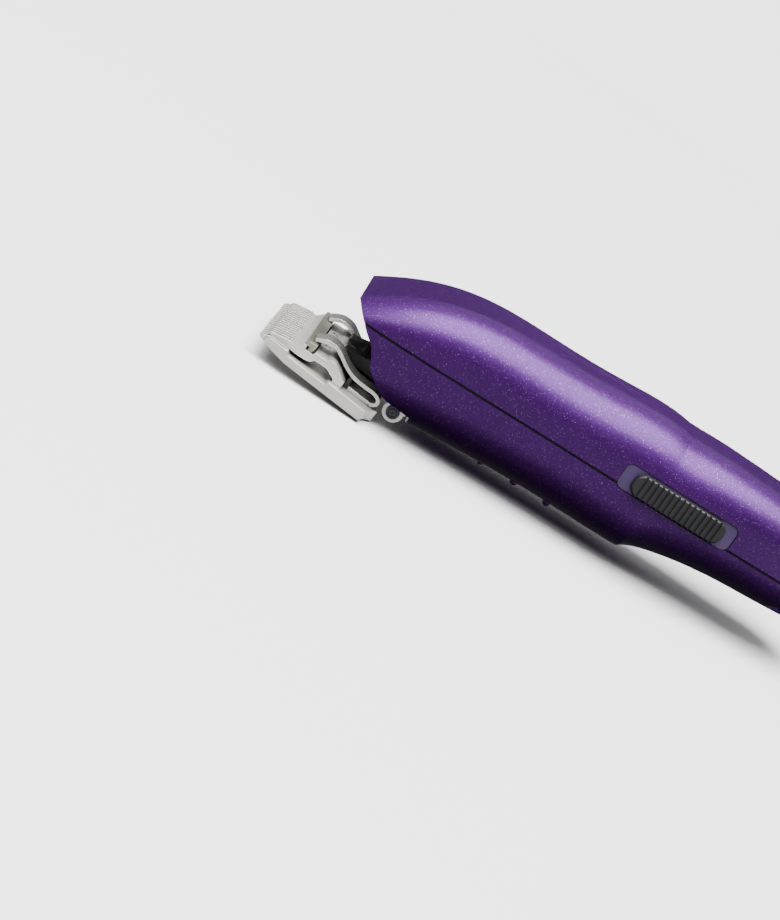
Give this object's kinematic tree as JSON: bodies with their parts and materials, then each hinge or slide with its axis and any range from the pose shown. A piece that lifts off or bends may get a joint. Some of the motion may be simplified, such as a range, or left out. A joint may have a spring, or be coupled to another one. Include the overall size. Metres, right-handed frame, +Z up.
{
  "type": "electric pet clipper",
  "caption": "Corded hand clipper with a two-half shell, side slide switch, geared motor drive and a hinged detachable comb and cutter blade set.",
  "frame": {"origin": "centre of the cord inlet mouth at the rear end, on the seam plane", "axes": "+X to the rear of the handle along the cord inlet, +Z up to the thumb side, +Y across, switch on the -Y side"},
  "size_m": [0.1992, 0.049, 0.0477],
  "materials": {
    "purple_paint": "metallic flake, clear coated",
    "lilac_plastic": "satin",
    "black_plastic": "satin",
    "black_rubber": "matte",
    "grey_plastic": "matte",
    "white_nylon": "satin",
    "blade_steel": "fine ground",
    "guide_steel": "satin",
    "spring_steel": "bright",
    "plated_steel": "nickel plated",
    "screw_steel": "bright",
    "dark_steel": "blackened",
    "bronze": "satin",
    "ferrite": "matte ceramic",
    "iron_core": "laminated",
    "copper_wire": "enamelled",
    "green_board": "solder mask",
    "component_body": "satin"
  },
  "bodies": {
    "housing": {"upper_housing": "purple_paint", "lower_housing": "purple_paint", "seam_gasket": "black_rubber", "housing_screws": "screw_steel", "cord_inlet_bushing": "black_rubber", "switch_plate": "lilac_plastic", "switch_body": "black_plastic", "drive_cap": "black_plastic", "drive_cap_screws": "screw_steel", "lever_pivot_pin": "screw_steel", "hinge_bracket": "plated_steel", "hinge_screws": "screw_steel", "hinge_pin": "dark_steel", "gear_plate": "grey_plastic", "motor_can": "plated_steel", "motor_magnets": "ferrite", "front_bearing": "bronze", "rear_bearing": "bronze", "motor_end_cap": "grey_plastic", "carbon_brushes": "ferrite", "brush_springs": "plated_steel", "gear_axle": "screw_steel", "circuit_board": "green_board", "board_components": "component_body", "terminal_block": "grey_plastic"},
    "armature": {"armature_shaft": "screw_steel", "armature_core": "iron_core", "armature_windings": "copper_wire", "commutator": "copper_wire", "cooling_fan": "grey_plastic", "pinion_gear": "bronze"},
    "gear_wheel": {"drive_gear": "white_nylon", "crank_pin": "screw_steel"},
    "lever": {"drive_lever": "plated_steel", "drive_tip": "white_nylon"},
    "switch_button": {"switch_slider": "black_plastic"},
    "tongue": {"hinge_tongue": "plated_steel", "latch_pin": "screw_steel", "latch_spring": "plated_steel"},
    "latch": {"latch_lever": "black_plastic"},
    "blade_set": {"comb": "blade_steel", "cutter_stop": "black_plastic", "blade_guide": "guide_steel", "tension_spring": "spring_steel", "blade_socket": "plated_steel", "socket_screws": "screw_steel"},
    "cutting_blade": {"cutter": "blade_steel"}
  },
  "joints": [
    {"name": "blade_hinge", "type": "hinge", "parent": "housing", "child": "tongue", "pos_m": [-0.1536, 0, -0.0203], "axis": [0, 1, 0], "range_deg": [-2.5, 30]},
    {"name": "blade_release", "type": "slide", "parent": "tongue", "child": "blade_set", "axis": [-0.9948, 0, 0.1019], "range_m": [0, 0.022]},
    {"name": "latch_press", "type": "hinge", "parent": "tongue", "child": "latch", "pos_m": [-0.15942, 0, -0.01624], "axis": [0, 1, 0], "range_deg": [0, 6], "stiffness_Nm_per_rad": 0.3, "springref_deg": -2.86},
    {"name": "lever_swing", "type": "hinge", "parent": "housing", "child": "lever", "pos_m": [-0.153, 0, 0.0049], "axis": [0, 0, 1], "range_deg": [-3.9, 3.9]},
    {"name": "cutter_slide", "type": "slide", "parent": "blade_set", "child": "cutting_blade", "axis": [0, 1, 0], "range_m": [-0.0015, 0.0015]},
    {"name": "armature_spin", "type": "hinge", "parent": "housing", "child": "armature", "pos_m": [-0.1, 0, 0.0035], "axis": [1, 0, 0], "continuous": true},
    {"name": "drive_gear_spin", "type": "hinge", "parent": "housing", "child": "gear_wheel", "pos_m": [-0.1328, 0, -0.008], "axis": [1, 0, 0], "continuous": true},
    {"name": "switch_slide", "type": "slide", "parent": "housing", "child": "switch_button", "axis": [0.9987, 0.0506, 0], "range_m": [-0.003, 0.003]}
  ],
  "couplings": [
    {"joint": "drive_gear_spin", "follows": "armature_spin", "ratio": -0.35294},
    {"joint": "lever_swing", "follows": "cutter_slide", "rad_per_m": -45.249}
  ]
}
